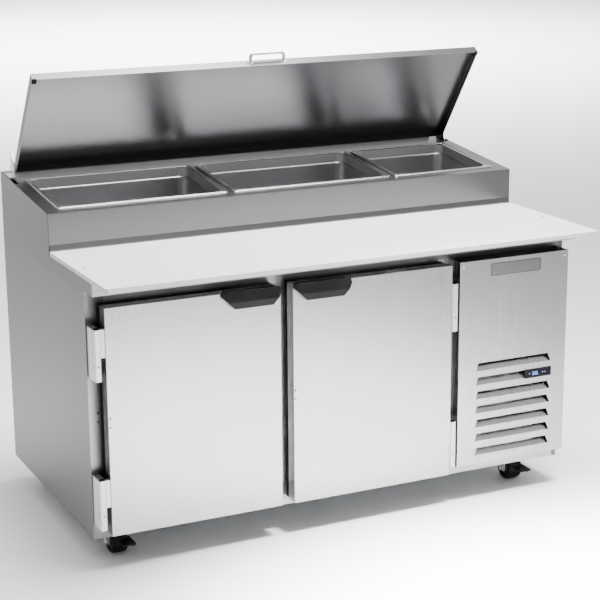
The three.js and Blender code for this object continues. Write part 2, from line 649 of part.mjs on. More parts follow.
function condenser() {
  const x0 = BAY_MID_X - CONDENSER.w / 2;
  const x1 = BAY_MID_X + CONDENSER.w / 2;
  const z1 = CONDENSER.z0 + CONDENSER.h;
  let core = box(x0, x1, CONDENSER.y0, CONDENSER.y1, CONDENSER.z0, z1);
  const rows = 9;
  for (let i = 0; i < rows; i += 1) {
    const z = CONDENSER.z0 + 16 + i * 28;
    core = core.subtract(box(x0 + 12, x1 - 12, CONDENSER.y0 - 1, CONDENSER.y0 + 20, z, z + 14));
  }
  const shroud = box(x0, x1, CONDENSER.y1 - 1, CONDENSER.y1 + 36, CONDENSER.z0, z1);
  const bore = cylinder(116, 200, 'y', BAY_MID_X, CONDENSER.y1 + 102, FAN_Z, 28);
  const feet = box(x0, x1, CONDENSER.y0, CONDENSER.y1 + 30, FLOOR_Z0 + GAP, CONDENSER.z0 + 2);
  return join(core, shroud.subtract(bore), feet);
}
add('condenser', condenser(), ALUMINIUM);

function fan(x, y, z, radius, blades) {
  let whole = cylinder(radius * 0.28, 24, 'y', x, y, z, 16);
  const pitch = THREE.MathUtils.degToRad(28);
  for (let i = 0; i < blades; i += 1) {
    const blade = new THREE.BoxGeometry(radius * 0.52, 2.4, radius * 0.78);
    blade.rotateZ(pitch);
    blade.translate(0, 0, radius * 0.58);
    blade.rotateY((i * Math.PI * 2) / blades);
    blade.translate(x, y, z);
    whole = whole.add(solid(blade));
  }
  return whole;
}
add('condenser_fan', fan(BAY_MID_X, CONDENSER.y1 + 20, FAN_Z, 104, 5), ALUMINIUM);

function compressor() {
  const x = BAY_MID_X + 20;
  const y = 520;
  const z = FLOOR_Z0 + GAP;
  const r = 84;
  const profile = [[0, 14], [r - 12, 14], [r, 30], [r, 150], [r - 10, 178], [r - 34, 198], [0, 204]];
  const pot = new THREE.LatheGeometry(profile.map(([a, b]) => new THREE.Vector2(a, b)), 20);
  pot.rotateX(Math.PI / 2);
  pot.translate(x, y, z);
  const plate = box(x - r - 14, x + r + 14, y - r - 4, y + r + 4, z, z + 16);
  const bracket = box(x + r - 30, x + r + 22, y - 26, y + 26, z + 60, z + 130);
  const hollow = cylinder(r - 14, 150, 'z', x, y, z + 75, 20);
  return join(solid(pot), plate, bracket).subtract(hollow);
}
add('compressor', compressor(), MACHINE_BLACK);

const EVAPORATOR = { x0: 420, x1: 760, y0: 560, y1: 712, z0: 540, z1: 690 };
const EVAP_FAN = { x: 590, y: 578, z: 616, r: 56 };
function evaporator() {
  const e = EVAPORATOR;
  const t = 3;
  const housing = box(e.x0, e.x1, e.y0, e.y1, e.z0, e.z1)
    .subtract(box(e.x0 + t, e.x1 - t, e.y0 + t, e.y1 - 40, e.z0 - 1, e.z1 - t));
  const mouth = cylinder(EVAP_FAN.r + 8, 20, 'y', EVAP_FAN.x, e.y0, EVAP_FAN.z, 24);
  return housing.subtract(mouth);
}
add('evaporator', evaporator(), ALUMINIUM);
add('evaporator_fan', fan(EVAP_FAN.x, EVAP_FAN.y, EVAP_FAN.z, EVAP_FAN.r, 5), BLACK_PLASTIC);

// ---------- wire shelves ----------
const SHELF = { z: 380, y0: 60, y1: 520, rod: 6, wire: 4, wires: 10 };
function wireShelf(x0, x1) {
  const { z, y0, y1, rod, wire, wires } = SHELF;
  const inside = box(x0 + rod, x1 - rod, y0 + rod, y1 - rod, z - 1, z + rod + 1);
  let grid = box(x0, x1, y0, y1, z, z + rod).subtract(inside);
  for (let i = 1; i <= wires; i += 1) {
    const x = x0 + ((x1 - x0) * i) / (wires + 1);
    grid = grid.add(box(x - wire / 2, x + wire / 2, y0 + 1, y1 - 1, z + rod - wire, z + rod - 0.5));
  }
  return grid;
}
add('shelf_left', wireShelf(WALL + 6, 566), GALVANISED);
add('shelf_right', wireShelf(572, BULKHEAD_X0 - 6), GALVANISED);

// ---------- casters ----------
function fork() {
  const legIn = WHEEL_W / 2 + 2;
  const legOut = legIn + FORK_T;
  const crown = box(-legOut, legOut, -TRAIL - 16, 26, -4.3, -0.8);
  const race = cylinder(24, 13.7, 'z', 0, 0, 4.85, 20);
  const side = [[-TRAIL - 14, -2], [24, -2], [-TRAIL + 12, AXLE_Z - 9], [-TRAIL - 12, AXLE_Z - 9]];
  const axle = cylinder(AXLE_R, 2 * legOut + 5, 'x', 0, -TRAIL, AXLE_Z, 16);
  return join(crown, race, alongX(side, legIn, legOut), alongX(side, -legOut, -legIn), axle);
}

function wheel() {
  const half = WHEEL_W / 2;
  const bore = AXLE_R + 0.4;
  const shoulder = 5;
  const side = WHEEL_R - 16;
  const profile = [[bore, -half], [side, -half], [WHEEL_R - shoulder, -half + 1], [WHEEL_R, -half + shoulder],
    [WHEEL_R, half - shoulder], [WHEEL_R - shoulder, half - 1], [side, half], [bore, half], [bore, -half]];
  const geometry = new THREE.LatheGeometry(profile.map(([a, b]) => new THREE.Vector2(a, b)), 26);
  geometry.rotateZ(Math.PI / 2);
  geometry.translate(0, -TRAIL, AXLE_Z);
  return solid(geometry);
}

// a foot lever on the fork's nose, beside the tread
function brakeLever() {
  const nose = -TRAIL - WHEEL_R;
  const x0 = WHEEL_W / 2 + 2 + FORK_T + GAP;
  const x1 = x0 + 3.5;
  const pad = box(-4, x1, nose - 34, nose - 3, AXLE_Z + 3, AXLE_Z + 8);
  const web = box(x0, x1, nose - 20, -TRAIL + 9, AXLE_Z - 6, AXLE_Z + 8);
  const bore = cylinder(AXLE_R + 0.4, 20, 'x', x0, -TRAIL, AXLE_Z, 16);
  return join(pad, web).subtract(bore);
}

for (const [end, y] of Object.entries(CASTER_Y)) {
  for (const [side, x] of Object.entries(CASTER_X)) {
    const caster = new THREE.Group();
    caster.position.set(x, y, 0);
    cabinet.add(caster);
    add(`caster_fork_${end}_${side}`, fork(), GALVANISED, caster);
    add(`caster_wheel_${end}_${side}`, wheel(), WHEEL_BLACK, caster);
    if (end === 'front') {
      add(`caster_brake_${side}`, brakeLever(), BLACK_PLASTIC, caster);
    }
  }
}

export default part;
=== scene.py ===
"""Refrigerated prep table with a raised pan rail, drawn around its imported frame."""

import math

import bmesh
import bpy
from bpy.props import FloatProperty, FloatVectorProperty, PointerProperty
from mathutils import Matrix, Vector


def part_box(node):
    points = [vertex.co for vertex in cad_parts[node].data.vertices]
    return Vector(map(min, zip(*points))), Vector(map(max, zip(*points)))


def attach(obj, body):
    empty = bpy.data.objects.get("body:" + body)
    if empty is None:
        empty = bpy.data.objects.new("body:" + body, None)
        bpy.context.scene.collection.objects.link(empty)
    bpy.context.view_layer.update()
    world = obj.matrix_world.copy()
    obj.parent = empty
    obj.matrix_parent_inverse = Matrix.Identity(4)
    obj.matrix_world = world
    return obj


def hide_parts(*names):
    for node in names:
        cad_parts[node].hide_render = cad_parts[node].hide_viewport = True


bl_info = {
    "name": "Refrigerated prep table",
    "version": (1, 0, 0),
    "blender": (4, 5, 0),
    "location": "View3D > Sidebar > Prep table",
    "description": "Finishes and fine pieces of a two door prep table with a pan rail",
    "category": "Object",
}

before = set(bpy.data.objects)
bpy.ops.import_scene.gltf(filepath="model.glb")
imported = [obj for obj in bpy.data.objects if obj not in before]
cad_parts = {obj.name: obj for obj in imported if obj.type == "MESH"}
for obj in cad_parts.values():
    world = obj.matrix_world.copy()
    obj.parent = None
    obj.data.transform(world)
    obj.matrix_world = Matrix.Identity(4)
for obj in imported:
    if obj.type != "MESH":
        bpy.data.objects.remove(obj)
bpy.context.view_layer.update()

# Every size below is in millimetres from the cabinet's front left lower corner.
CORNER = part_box("left_wall")[0]
WIDTH = 1524
RAIL_Y = 303
RAIL_FRONT_Z = 864
SLOPE = math.atan2(47, 467)
LID_OPEN = math.radians(54.3)
LID_AXIS = Vector((0, 698.4, 920.5))
RAIL = Matrix.Translation((0, RAIL_Y, RAIL_FRONT_Z)) @ Matrix.Rotation(SLOPE, 4, "X")
LID = Matrix.Translation(LID_AXIS) @ Matrix.Rotation(-LID_OPEN, 4, "X")
LID_FRONT = -378
DOOR_FACE = -60
DOOR_Z = (25, 672)
BOARD_TOP = 757
PANS = {"pan_left": (40, 570), "pan_centre": (585, 1115), "pan_right": (1130, 1484)}
PAN_V = (37.2, 352.2)
HINGE_X = {"left": 13, "right": 1114.5}
HINGE_Y = -50.5
HINGE_SPLITS = {"upper": 512, "lower": 86.6}
KNUCKLE_LONG = 103
KNUCKLE_SHORT = 41
DOOR_X = {"left": (35, 549), "right": (588, 1102)}
CASTER_X = {"left": 91, "right": 1404}
CASTER_Y = {"front": 95, "rear": 675}
AXLE_Z = -42.5
SHELF_Z = 383
TRAIL = 20
THINNEST = 0.02
SHARP = math.radians(38)

# The view's place, in the same millimetres, and its angles in degrees.
VIEW_PLACE = (-1322.98, -4112.06, 1803.21)
VIEW_HEADING = 25.4904
VIEW_DROP = 14.6751
VIEW_ROLL = 0.4327
VIEW_LENS = 99.605
FLOOR_REACH = 24


def spot(point):
    """A place in the frame, in metres, from a point in millimetres."""
    return CORNER + Vector(point) / 1000


# ---------- finishes ----------
class Value:
    """A number on a socket, which takes part in ordinary arithmetic."""

    def __init__(self, finish, socket):
        self.finish = finish
        self.socket = socket

    def _with(self, operation, first, second):
        sockets = {0: first, 1: second}
        node = self.finish.make("ShaderNodeMath", {"operation": operation}, sockets)
        return Value(self.finish, node.outputs[0])

    def __add__(self, other):
        return self._with("ADD", self, other)

    __radd__ = __add__

    def __sub__(self, other):
        return self._with("SUBTRACT", self, other)

    def __rsub__(self, other):
        return self._with("SUBTRACT", other, self)

    def __mul__(self, other):
        return self._with("MULTIPLY", self, other)

    __rmul__ = __mul__

    def above(self, edge, width):
        """0 below the edge, 1 above it, with a soft step of that width."""
        return ((self - edge) * (1 / width)).clipped()

    def clipped(self):
        return self._with("MAXIMUM", self._with("MINIMUM", self, 1.0), 0.0)


class Nodes:
    """A node tree that is filled one node at a time."""

    def __init__(self, tree):
        self.tree = tree
        self.tree.nodes.clear()

    def make(self, kind, settings, sockets):
        """A node of that kind, with its settings, then the values or links of its sockets."""
        node = self.tree.nodes.new(kind)
        for key, value in settings.items():
            if key == "stops":
                self._stops(node.color_ramp.elements, value)
            else:
                setattr(node, key, value)
        for key, value in sockets.items():
            self.feed(node.inputs[key], value)
        return node

    def _stops(self, elements, stops):
        while len(elements) < len(stops):
            elements.new(0.5)
        for element, (position, colour) in zip(elements, stops):
            element.position = position
            element.color = (*colour, 1)

    def feed(self, socket, value):
        source = value.socket if isinstance(value, Value) else value
        if isinstance(source, bpy.types.NodeSocket):
            self.tree.links.new(source, socket)
        else:
            socket.default_value = source


class Finish(Nodes):
    """One procedural material on a principled surface."""

    def __init__(self, name):
        self.material = bpy.data.materials.new(name)
        self.material.use_nodes = True
        super().__init__(self.material.node_tree)
        self.surface = self.make("ShaderNodeBsdfPrincipled", {}, {})
        self.make("ShaderNodeOutputMaterial", {}, {"Surface": self.surface.outputs[0]})
        self.place = self.make("ShaderNodeTexCoord", {}, {}).outputs["Object"]

    def stretched(self, scale):
        settings = {"vector_type": "TEXTURE"}
        sockets = {"Vector": self.place, "Scale": tuple(1 / s for s in scale)}
        return self.make("ShaderNodeMapping", settings, sockets).outputs[0]

    def noise(self, scale, detail=3.0, stretch=(1, 1, 1), roughness=0.5):
        sockets = {
            "Vector": self.stretched(stretch),
            "Scale": scale,
            "Detail": detail,
            "Roughness": roughness,
        }
        return Value(self, self.make("ShaderNodeTexNoise", {}, sockets).outputs[0])

    def cells(self, scale):
        sockets = {"Vector": self.place, "Scale": scale}
        return self.make("ShaderNodeTexVoronoi", {}, sockets)

    def edges(self):
        """How far a point lies on an outer edge, from the mesh's own curvature."""
        return Value(self, self.make("ShaderNodeNewGeometry", {}, {}).outputs["Pointiness"])

    def blend(self, amount, low, high):
        settings = {"data_type": "RGBA"}
        sockets = {0: amount, 6: low, 7: high}
        return self.make("ShaderNodeMix", settings, sockets).outputs[2]

    def relief(self, height, strength, distance=0.001):
        sockets = {"Height": height, "Strength": strength, "Distance": distance}
        self.feed(self.surface.inputs["Normal"], self.make("ShaderNodeBump", {}, sockets).outputs[0])

    def dress(self, **values):
        for key, value in values.items():
            self.feed(self.surface.inputs[key.replace("_", " ").title()], value)


def colour(value, factor=1.0):
    return (*(min(1.0, c * factor) for c in value), 1)


GRAIN = {"x": (4, 700, 700), "y": (700, 4, 700), "z": (700, 700, 4)}


def brushed(name, base, along, rough, streak=0.06):
    """Stainless sheet with drawn grain along one axis, wiped marks and a few hairlines."""
    finish = Finish(name)
    grain = finish.noise(1.0, 2.0, GRAIN[along])
    fine = finish.noise(2.6, 2.0, GRAIN[along])
    clouds = finish.noise(1.6, 3.0)
    wiped = finish.noise(1.1, 2.0, {"x": (1, 5, 5), "y": (5, 1, 5), "z": (5, 5, 1)}[along])
    scratch = finish.noise(0.5, 1.0, GRAIN[along]).above(0.72, 0.04)
    tone = grain * 0.6 + fine * 0.4
    steel = finish.blend(tone, colour(base, 1 - streak), colour(base, 1 + streak))
    worn = finish.blend(scratch * 0.35, steel, colour(base, 1.25))
    finish.dress(base_color=finish.blend(clouds * 0.15, worn, colour(base, 0.9)), metallic=1.0)
    finish.dress(roughness=(tone - 0.5) * 0.06 + clouds * 0.03 + wiped * 0.04 + (rough - 0.035))
    finish.relief(tone + scratch * 0.4, 0.04, 0.0002)
    return finish.material


def galvanised(name, base):
    """Zinc coated steel with a faint spangle."""
    finish = Finish(name)
    cells = finish.cells(95)
    spangle = finish.make("ShaderNodeSeparateColor", {}, {0: cells.outputs["Color"]}).outputs[0]
    spangle = Value(finish, spangle)
    dull = finish.noise(7, 5)
    plate = finish.blend(spangle, colour(base, 0.82), colour(base, 1.1))
    finish.dress(base_color=finish.blend(dull * 0.5, plate, colour(base, 0.7)), metallic=0.9)
    finish.dress(roughness=spangle * 0.12 + dull * 0.2 + 0.32)
    finish.relief(finish.noise(160, 3), 0.08)
    return finish.material


def satin_metal(name, base, rough):
    """Cast or rolled metal with a fine blasted surface and brighter edges."""
    finish = Finish(name)
    speckle = finish.noise(900, 2)
    patches = finish.noise(14, 4)
    edge = finish.edges().above(0.52, 0.06)
    plain = finish.blend(patches, colour(base, 0.86), colour(base, 1.08))
    finish.dress(base_color=finish.blend(edge * 0.5, plain, colour(base, 1.3)), metallic=1.0)
    finish.dress(roughness=speckle * 0.12 + patches * 0.1 + (rough - 0.1))
    finish.relief(speckle, 0.1, 0.0003)
    return finish.material


def moulded(name, base, rough, grain=1500, wear=2.4):
    """Moulded plastic or rubber with a fine texture, dust and paler edges."""
    finish = Finish(name)
    texture = finish.noise(grain, 2)
    dust = finish.noise(22, 5)
    edge = finish.edges().above(0.52, 0.08)
    plain = finish.blend(dust, colour(base, 0.8), colour(base, 1.35))
    finish.dress(base_color=finish.blend(edge * 0.5, plain, colour(base, wear)))
    finish.dress(roughness=texture * 0.12 + dust * 0.14 + (rough - 0.12))
    finish.relief(texture, 0.18, 0.0004)
    finish.surface.inputs["Specular IOR Level"].default_value = 0.1
    return finish.material


def board_plastic(name, base):
    """White cutting board plastic with an even pebble and faint knife marks."""
    finish = Finish(name)
    pebble = finish.noise(520, 3)
    stain = finish.noise(5, 4)
    cuts = finish.noise(1.0, 1.0, (9, 380, 10)).above(0.7, 0.03)
    cross = finish.noise(1.0, 1.0, (420, 14, 10)).above(0.73, 0.03)
    marks = (cuts + cross).clipped()
    plain = finish.blend(stain * 0.6, colour(base), colour((base[0], base[1] * 0.985, base[2] * 0.95)))
    finish.dress(base_color=finish.blend(marks * 0.1, plain, colour(base, 0.8)))
    finish.dress(roughness=pebble * 0.12 + stain * 0.08 + 0.42)
    finish.relief(pebble * 0.5 - marks * 0.6, 0.2, 0.0005)
    return finish.material


def coated(name, base, rough):
    """Baked paint with a slight orange peel."""
    finish = Finish(name)
    peel = finish.noise(240, 2)
    shade = finish.noise(6, 4)
    edge = finish.edges().above(0.53, 0.06)
    plain = finish.blend(shade, colour(base, 0.92), colour(base, 1.05))
    finish.dress(base_color=finish.blend(edge * 0.3, plain, colour(base, 1.3)))
    finish.dress(roughness=shade * 0.12 + peel * 0.05 + (rough - 0.08))
    finish.relief(peel, 0.12, 0.0004)
    return finish.material


def display(name, base, glow):
    """Lit display segments behind a dark window."""
    finish = Finish(name)
    cell = finish.noise(700, 1)
    finish.dress(base_color=finish.blend(cell, colour(base, 0.9), colour(base, 1.1)), roughness=0.3)
    finish.dress(emission_color=finish.blend(cell, colour(base, 0.95), colour(base)))
    finish.surface.inputs["Emission Strength"].default_value = glow
    return finish.material


def pale_floor(name, base):
    """Plain matt floor."""
    finish = Finish(name)
    shade = finish.noise(1.5, 3)
    finish.dress(base_color=finish.blend(shade, colour(base, 0.99), colour(base, 1.01)), roughness=0.75)
    return finish.material


# ---------- shapes ----------
class Shape:
    """Collects closed solids, in millimetres, and turns them into one piece."""

    def __init__(self, place=None):
        self.mesh = bmesh.new()
        self.place = place or Matrix()

    def solid(self, points, faces):
        made = [self.mesh.verts.new(self.place @ Vector(p)) for p in points]
        for face in faces:
            self.mesh.faces.new([made[i] for i in face])
        return self

    def slab(self, x0, x1, y0, y1, z0, z1):
        corners = [(x, y, z) for x in (x0, x1) for y in (y0, y1) for z in (z0, z1)]
        faces = [(0, 1, 3, 2), (4, 6, 7, 5), (0, 4, 5, 1), (2, 3, 7, 6), (0, 2, 6, 4), (1, 5, 7, 3)]
        return self.solid(corners, faces)

    def rings(self, rings, closed=False):
        """Skins a run of equal rings of points, and caps the two ends unless the run closes."""
        count = len(rings[0])
        points = [p for ring in rings for p in ring]
        faces = []
        last = len(rings) if closed else len(rings) - 1
        for r in range(last):
            a = r * count
            b = ((r + 1) % len(rings)) * count
            for i in range(count):
                j = (i + 1) % count
                faces.append((a + i, a + j, b + j, b + i))
        if not closed:
            faces.append(tuple(reversed(range(count))))
            faces.append(tuple(range(len(points) - count, len(points))))
        return self.solid(points, faces)

    def prism(self, outline, axis, start, end):
        """An outline in the plane across an axis, drawn from start to end along it."""
        order = {
            "x": lambda a, b, t: (t, a, b),
            "y": lambda a, b, t: (a, t, b),
            "z": lambda a, b, t: (a, b, t),
        }
        put = order[axis]
        return self.rings([[put(a, b, t) for a, b in outline] for t in (start, end)])

    def turned(self, profile, centre, axis="z", sides=40, closed=False):
        """A profile of radius and height, turned about an axis through the centre."""
        turn = {
            "x": Matrix.Rotation(math.pi / 2, 3, "Y"),
            "y": Matrix.Rotation(-math.pi / 2, 3, "X"),
            "z": Matrix.Identity(3),
        }
        middle = Vector(centre)
        rings = []
        for radius, height in profile:
            ring = []
            reach = max(radius, THINNEST)
            for i in range(sides):
                angle = 2 * math.pi * i / sides
                spoke = Vector((reach * math.cos(angle), reach * math.sin(angle), height))
                ring.append(middle + turn[axis] @ spoke)
            rings.append(ring)
        return self.rings(rings, closed)

    def rod(self, points, radius, sides=16):
        """A round bar that follows the points."""
        points = [Vector(p) for p in points]
        heading = (points[1] - points[0]).normalized()
        side = heading.orthogonal().normalized()
        rings = []
        for i, point in enumerate(points):
            before = points[max(i - 1, 0)]
            after = points[min(i + 1, len(points) - 1)]
            new_heading = (after - before).normalized()
            side = (heading.rotation_difference(new_heading) @ side).normalized()
            heading = new_heading
            other = heading.cross(side)
            angles = [2 * math.pi * k / sides for k in range(sides)]
            rings.append([point + (side * math.cos(a) + other * math.sin(a)) * radius for a in angles])
        return self.rings(rings)

    def screw(self, centre, axis, facing, radius=4.0, rise=2.0):
        """A pan head with a cross recess, standing on the given face."""
        heights = [0, rise * 0.35, rise * 0.75, rise]
        radii = [radius, radius, radius * 0.8, radius * 0.42]
        profile = [(r, h * facing) for r, h in zip(radii, heights)]
        profile += [(radius * 0.3, rise * 0.5 * facing), (0, rise * 0.45 * facing)]
        return self.turned([(0, 0)] + profile, centre, axis, 20)

    def piece(self, name, body, material, bevel=0.0, segments=2, stands_for=()):
        """Makes the object, in place in the frame, and puts it on its body."""
        bmesh.ops.recalc_face_normals(self.mesh, faces=self.mesh.faces)
        for vertex in self.mesh.verts:
            vertex.co = spot(vertex.co)
        data = bpy.data.meshes.new(name)
        self.mesh.to_mesh(data)
        self.mesh.free()
        data.polygons.foreach_set("use_smooth", [True] * len(data.polygons))
        data.set_sharp_from_angle(angle=SHARP)
        data.materials.append(material)
        made = bpy.data.objects.new(name, data)
        bpy.context.scene.collection.objects.link(made)
        if bevel:
            round_off(made, bevel, segments)
        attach(made, body)
        if stands_for:
            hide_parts(*stands_for)
        return made


def round_off(made, width, segments=2, angle=32):
    """Softens the piece's sharp edges by that many millimetres."""
    soften = made.modifiers.new("soft_edges", "BEVEL")
    soften.width = width / 1000
    soften.segments = segments
    soften.limit_method = "ANGLE"
    soften.angle_limit = math.radians(angle)
    soften.harden_normals = True
    soften.miter_outer = "MITER_ARC"
    return soften


def finish_nodes(names, material, bevel=0.0, segments=2):
    """Gives the frame's own nodes their finish, and softens their folded edges."""
    for name in names:
        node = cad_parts[name]
        node.data.materials.clear()
        node.data.materials.append(material)
        if bevel:
            flats = node.modifiers.new("merge_flats", "DECIMATE")
            flats.decimate_type = "DISSOLVE"
            flats.angle_limit = math.radians(0.5)
            round_off(node, bevel, segments)


def arc(centre, radius, start, end, steps):
    """Points on a circle's arc, in degrees."""
    return [
        (centre[0] + radius * math.cos(math.radians(start + (end - start) * i / steps)),
         centre[1] + radius * math.sin(math.radians(start + (end - start) * i / steps)))
        for i in range(steps + 1)
    ]


def rounded_frame(x0, x1, y0, y1, radius, steps=8):
    """Points around a rectangle with round corners."""
    corners = [
        (x1 - radius, y0 + radius, -90),
        (x1 - radius, y1 - radius, 0),
        (x0 + radius, y1 - radius, 90),
        (x0 + radius, y0 + radius, 180),
    ]
    return [p for x, y, start in corners for p in arc((x, y), radius, start, start + 90, steps)]


def swept_bend(path, reach, steps=8):
    """Rounds each inner corner of a path of points."""
    points = [Vector(p) for p in path]
    bent = [points[0]]
    for before, corner, after in zip(points, points[1:], points[2:]):
        start = corner + (before - corner).normalized() * reach
        end = corner + (after - corner).normalized() * reach
        for i in range(steps + 1):
            t = i / steps
            bent.append(start * (1 - t) ** 2 + corner * 2 * t * (1 - t) + end * t * t)
    return bent + [points[-1]]


# ---------- sizes and colours that a user would change ----------
class PrepTableColours(bpy.types.PropertyGroup):
    """Base colours of the finishes; three of the stainless colours are darker copies of one sheet, with
    painted shade.
    """

    steel: FloatVectorProperty(
        name="Stainless", description="Brushed stainless sheet", subtype="COLOR",
        default=(0.36, 0.362, 0.366))
    # The doors' stainless again, darker: painted shade for the header, the rail's faces and the blank plate.
    dull_steel: FloatVectorProperty(
        name="Dull steel", description="Stainless of the header and the rail's faces", subtype="COLOR",
        default=(0.18, 0.182, 0.186))
    # The doors' stainless again, darker still: painted shade for the lid, the end panels and the side walls.
    dark_sheet: FloatVectorProperty(
        name="Dark sheet", description="Stainless of the lid and the ends", subtype="COLOR",
        default=(0.115, 0.116, 0.119))
    # The doors' stainless again, darker: painted shade for the pan rail's top and its dividers.
    dark_steel: FloatVectorProperty(
        name="Rail steel", description="Stainless of the pan rail's top", subtype="COLOR",
        default=(0.15, 0.151, 0.154))
    pan_steel: FloatVectorProperty(
        name="Pan steel", description="Drawn stainless of the pans", subtype="COLOR",
        default=(0.4, 0.402, 0.408))
    board: FloatVectorProperty(
        name="Board", description="Cutting board plastic", subtype="COLOR", default=(0.64, 0.64, 0.635))
    black: FloatVectorProperty(
        name="Black plastic", description="Pulls, controller and brackets", subtype="COLOR",
        default=(0.003, 0.003, 0.0032))
    rubber: FloatVectorProperty(
        name="Rubber", description="Gaskets and wheel treads", subtype="COLOR",
        default=(0.005, 0.005, 0.0053))
    digits: FloatVectorProperty(
        name="Digits", description="Lit display segments", subtype="COLOR", default=(0.2, 0.36, 1.0))
    floor: FloatVectorProperty(
        name="Floor", description="Plain floor", subtype="COLOR", default=(0.92, 0.92, 0.92))


class PrepTableSizes(bpy.types.PropertyGroup):
    """Sizes of the fine pieces."""

    handle_rod: FloatProperty(
        name="Handle rod", description="Diameter of the lid handle's rod", default=0.010, min=0.006,
        max=0.0102, unit="LENGTH")
    sheet_edge: FloatProperty(
        name="Folded edge", description="Radius of the folded sheet edges", default=0.0012, min=0.0004,
        max=0.003, unit="LENGTH")
    board_edge: FloatProperty(
        name="Board edge", description="Radius of the cutting board's edges", default=0.0022,
        min=0.0005, max=0.004, unit="LENGTH")
    louvre_edge: FloatProperty(
        name="Louvre edge", description="Radius of the louvres' folded edges", default=0.0005,
        min=0.0002, max=0.001, unit="LENGTH")
    display_glow: FloatProperty(
        name="Display glow", description="Strength of the lit segments", default=0.7, min=0.0, max=10.0)
    lamp_power: FloatProperty(
        name="Lamp power", description="Power of the main studio lamp", default=250.0, min=0.0,
        max=1000.0, unit="POWER")


MADE = {}


def finishes():
    """The materials, made once and kept by name."""
    if MADE:
        return MADE
    hue = bpy.context.scene.prep_table_colours
    glow = bpy.context.scene.prep_table_sizes.display_glow
    MADE.update(
        steel_x=brushed("steel_grain_across", hue.steel, "x", 0.27),
        # Only the upright and across steels keep the stainless's own colour; the header, lid, end and rail
        # steels are darker copies of it, with painted shade.
        dull_x=brushed("dull_steel_across", hue.dull_steel, "x", 0.3),
        lid_steel=brushed("lid_steel", hue.dark_sheet, "x", 0.3),
        end_deep=brushed("end_steel_deep", hue.dark_sheet, "y", 0.32),
        end_upright=brushed("end_steel_upright", hue.dark_sheet, "z", 0.3),
        steel_z=brushed("steel_grain_upright", hue.steel, "z", 0.27),
        rail_steel=brushed("rail_top_steel", hue.dark_steel, "x", 0.36),
        pan_steel=brushed("drawn_pan_steel", hue.pan_steel, "x", 0.3, 0.05),
        zinc=galvanised("zinc_plate", (0.55, 0.56, 0.57)),
        aluminium=satin_metal("satin_aluminium", (0.62, 0.63, 0.64), 0.42),
        bright_metal=satin_metal("polished_screws", (0.7, 0.7, 0.71), 0.26),
        copper=satin_metal("copper_pipe", (0.72, 0.34, 0.2), 0.32),
        board=board_plastic("board_plastic", hue.board),
        black=moulded("black_plastic", hue.black, 0.46),
        rubber=moulded("gasket_rubber", hue.rubber, 0.66, 900, 1.8),
        tread=moulded("wheel_rubber", hue.rubber, 0.6, 700, 2.0),
        hub=moulded("wheel_hub", (0.03, 0.03, 0.032), 0.42),
        black_paint=coated("black_paint", (0.014, 0.014, 0.015), 0.4),
        white_paint=coated("liner_paint", (0.78, 0.79, 0.79), 0.36),
        window=moulded("display_window", (0.002, 0.002, 0.003), 0.3, 1500, 1.0),
        digits=display("lit_digits", hue.digits, glow),
        floor=pale_floor("studio_floor", hue.floor),
    )
    return MADE


# ---------- operators ----------
class Stage(bpy.types.Operator):
    """Make the camera, the floor and the soft studio light"""

    bl_idname = "prep_table.stage"
    bl_label = "Stage"

    def execute(self, context):
        lens = bpy.data.cameras.new("view")
        lens.lens = VIEW_LENS
        lens.sensor_width = 36
        lens.clip_end = 60
        camera = bpy.data.objects.new("view", lens)
        heading = math.radians(VIEW_HEADING)
        drop = math.radians(VIEW_DROP)
        roll = math.radians(VIEW_ROLL)
        level = math.cos(drop)
        ahead = Vector((math.sin(heading) * level, math.cos(heading) * level, -math.sin(drop)))
        across = Vector((math.cos(heading), -math.sin(heading), 0))
        down = ahead.cross(across)
        right = across * math.cos(roll) + down * math.sin(roll)
        lower = down * math.cos(roll) - across * math.sin(roll)
        turn = Matrix((right, -lower, -ahead)).transposed().to_4x4()
        camera.matrix_world = Matrix.Translation(spot(VIEW_PLACE)) @ turn
        context.scene.collection.objects.link(camera)
        context.scene.camera = camera
        self.floor(context)
        power = context.scene.prep_table_sizes.lamp_power
        self.lamp(context, "lamp_above", (0.4, -0.3, 3.4), (0.2, 0, 0.8), 2.0, power * 0.6, 110)
        self.lamp(context, "lamp_front", (0.2, -1.6, 2.9), (0.2, -1.45, 0), 0.6, power * 0.62, 46)
        self.lamp(context, "lamp_back", (4.5, 12.0, 6.5), (4.5, 13.0, 0), 7.0, power * 12, 130)
        self.surroundings(context)
        return {"FINISHED"}

    def floor(self, context):
        data = bpy.data.meshes.new("floor")
        signs = [(-1, -1), (1, -1), (1, 1), (-1, 1)]
        corners = [(x * FLOOR_REACH, y * FLOOR_REACH, 0) for x, y in signs]
        data.from_pydata(corners, [], [(0, 1, 2, 3)])
        data.materials.append(finishes()["floor"])
        ground = bpy.data.objects.new("floor", data)
        context.scene.collection.objects.link(ground)

    def lamp(self, context, name, place, target, size, power, spread):
        light = bpy.data.lights.new(name, "AREA")
        light.energy = power
        light.size = size
        light.spread = math.radians(spread)
        lamp = bpy.data.objects.new(name, light)
        lamp.location = place
        lamp.rotation_euler = (Vector(target) - Vector(place)).to_track_quat("-Z", "Y").to_euler()
        context.scene.collection.objects.link(lamp)

    def surroundings(self, context):
        world = bpy.data.worlds.new("studio")
        context.scene.world = world
        world.use_nodes = True
        sky = Nodes(world.node_tree)
        heading = sky.make("ShaderNodeTexCoord", {}, {}).outputs["Generated"]
        settings = {"operation": "DOT_PRODUCT"}
        toward = sky.make("ShaderNodeVectorMath", settings, {0: heading, 1: (0.3, 0.4, 0.87)})
        stops = [(0.05, (0.25, 0.253, 0.257)), (0.75, (0.97, 0.975, 0.98))]
        fade = sky.make("ShaderNodeValToRGB", {"stops": stops}, {0: toward.outputs["Value"]})
        glow = sky.make("ShaderNodeBackground", {}, {"Color": fade.outputs[0], "Strength": 1.5})
        sky.make("ShaderNodeOutputWorld", {}, {"Surface": glow.outputs[0]})


